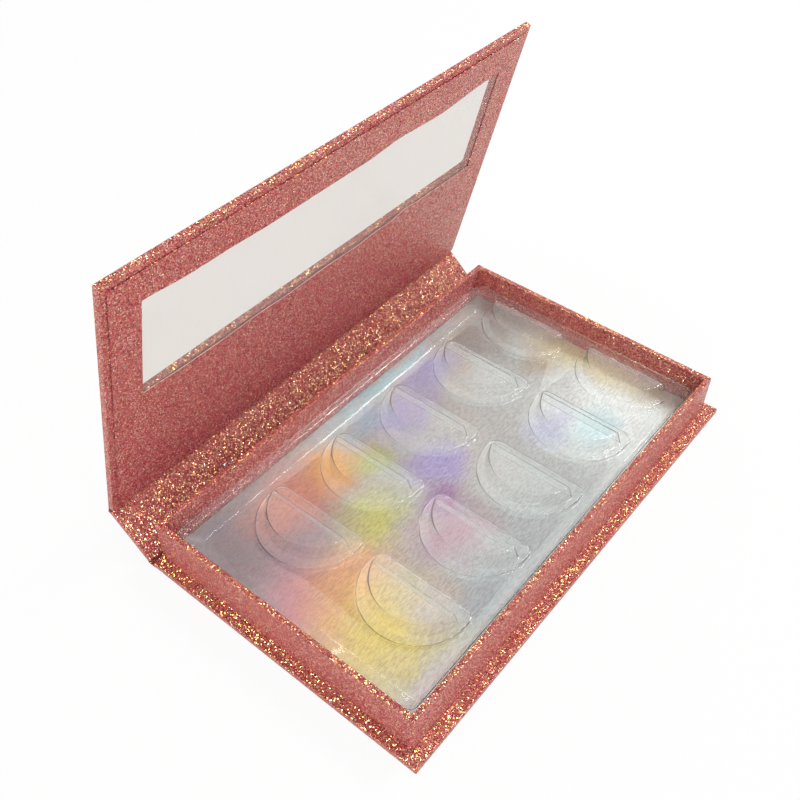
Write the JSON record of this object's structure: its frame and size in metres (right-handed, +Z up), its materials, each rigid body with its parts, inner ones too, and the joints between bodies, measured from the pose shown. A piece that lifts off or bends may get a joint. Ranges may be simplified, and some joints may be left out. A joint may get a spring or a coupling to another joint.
{
  "type": "false eyelash case",
  "caption": "Book-style false eyelash case: a glitter-paper cover with a window folds round a tray that holds a rainbow card and a clear inlay of lash seats.",
  "frame": {"origin": "centre of the base's underside", "axes": "+Z up, +X along the hinges, -Y towards the opening edge, +Y towards the hinge edge"},
  "size_m": [0.18, 0.1277, 0.1217],
  "materials": {
    "greyboard": "matte",
    "glitter_paper": "satin",
    "lining_paper": "satin",
    "kraft_tape": "matte",
    "plated_magnet": "satin",
    "holographic_card": "gloss",
    "clear_pet": "gloss",
    "window_film": "gloss"
  },
  "bodies": {
    "base": {"base_board": "greyboard", "base_wrap": "glitter_paper", "base_liner": "lining_paper", "tray_board": "greyboard", "tray_corner_stays": "kraft_tape", "tray_wrap": "glitter_paper", "tray_magnet_left": "plated_magnet", "tray_magnet_right": "plated_magnet"},
    "card": {"holographic_card": "holographic_card"},
    "inlay": {"blister_tray": "clear_pet"},
    "spine": {"spine_board": "greyboard", "spine_wrap": "glitter_paper", "spine_liner": "lining_paper"},
    "lid": {"lid_board": "greyboard", "lid_wrap": "glitter_paper", "lid_liner": "lining_paper", "window_film": "window_film", "lid_magnet_left": "plated_magnet", "lid_magnet_right": "plated_magnet"}
  },
  "joints": [
    {"name": "spine_hinge", "type": "hinge", "parent": "base", "child": "spine", "pos_m": [0, 0.0569, 0.00035], "axis": [-1, 0, 0], "range_deg": [-50, 40]},
    {"name": "lid_hinge", "type": "hinge", "parent": "spine", "child": "lid", "pos_m": [0, 0.07303, 0.01388], "axis": [-1, 0, 0], "range_deg": [-25.5, 64.5]},
    {"name": "card_lift", "type": "slide", "parent": "base", "child": "card", "axis": [0, 0, 1], "range_m": [0, 0.03]},
    {"name": "inlay_lift", "type": "slide", "parent": "card", "child": "inlay", "axis": [0, 0, 1], "range_m": [0, 0.03]}
  ]
}
